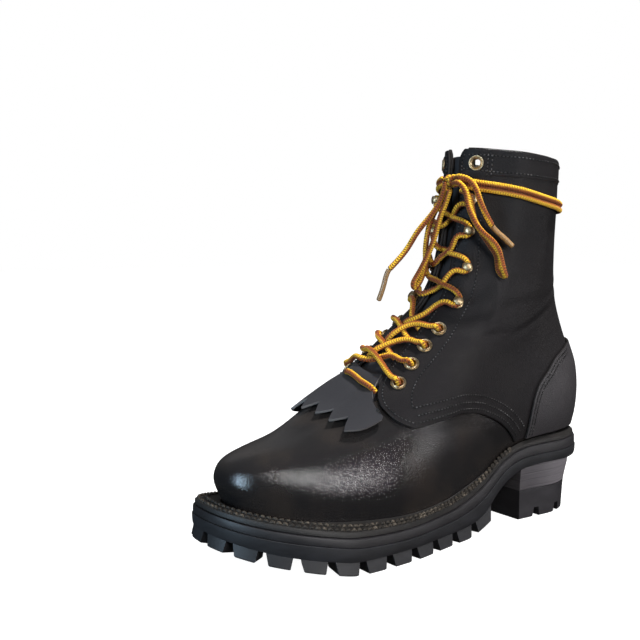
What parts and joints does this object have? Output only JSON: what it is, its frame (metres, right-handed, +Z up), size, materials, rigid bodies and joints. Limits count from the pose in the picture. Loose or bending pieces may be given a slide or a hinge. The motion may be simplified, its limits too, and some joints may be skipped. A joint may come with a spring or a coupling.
{
  "type": "wildland fire boot",
  "caption": "Tall laced leather work boot with a fringed kiltie, tapered heel and deep lug sole, for walking and working on steep ground.",
  "frame": {"origin": "on the ground under the middle of the boot's box", "axes": "+X to the toe, +Y to the outer side of the left foot, +Z up the shaft"},
  "size_m": [0.3135, 0.112, 0.2659],
  "materials": {
    "sole_rubber": "matte",
    "edge_leather": "matte",
    "insole_leather": "matte",
    "upper_leather": "satin",
    "tongue_leather": "matte",
    "brass": "aged",
    "lace": "matte",
    "aglet": "satin"
  },
  "bodies": {
    "root": {"outsole": "sole_rubber", "heel_lift": "sole_rubber", "midsole": "edge_leather", "welt": "edge_leather", "heel_stack": "edge_leather", "insole": "insole_leather", "upper": "upper_leather", "quarter_outer": "upper_leather", "quarter_inner": "upper_leather", "heel_counter": "upper_leather", "collar_band": "upper_leather", "pull_loop": "upper_leather", "tongue": "tongue_leather", "kiltie": "tongue_leather", "eyelet_outer_1": "brass", "eyelet_outer_2": "brass", "eyelet_outer_3": "brass", "eyelet_outer_4": "brass", "eyelet_outer_5": "brass", "eyelet_inner_1": "brass", "eyelet_inner_2": "brass", "eyelet_inner_3": "brass", "eyelet_inner_4": "brass", "eyelet_inner_5": "brass", "hook_outer_1": "brass", "hook_outer_2": "brass", "hook_outer_3": "brass", "hook_outer_4": "brass", "hook_inner_1": "brass", "hook_inner_2": "brass", "hook_inner_3": "brass", "hook_inner_4": "brass", "lace_bar": "lace", "lace_cross_1": "lace", "lace_cross_2": "lace", "lace_cross_3": "lace", "lace_hooked": "lace", "lace_wrap": "lace", "lace_knot": "lace", "lace_loop_left": "lace", "lace_loop_right": "lace", "lace_end_left": "lace", "lace_end_right": "lace", "aglet_left": "aglet", "aglet_right": "aglet"}
  },
  "joints": []
}
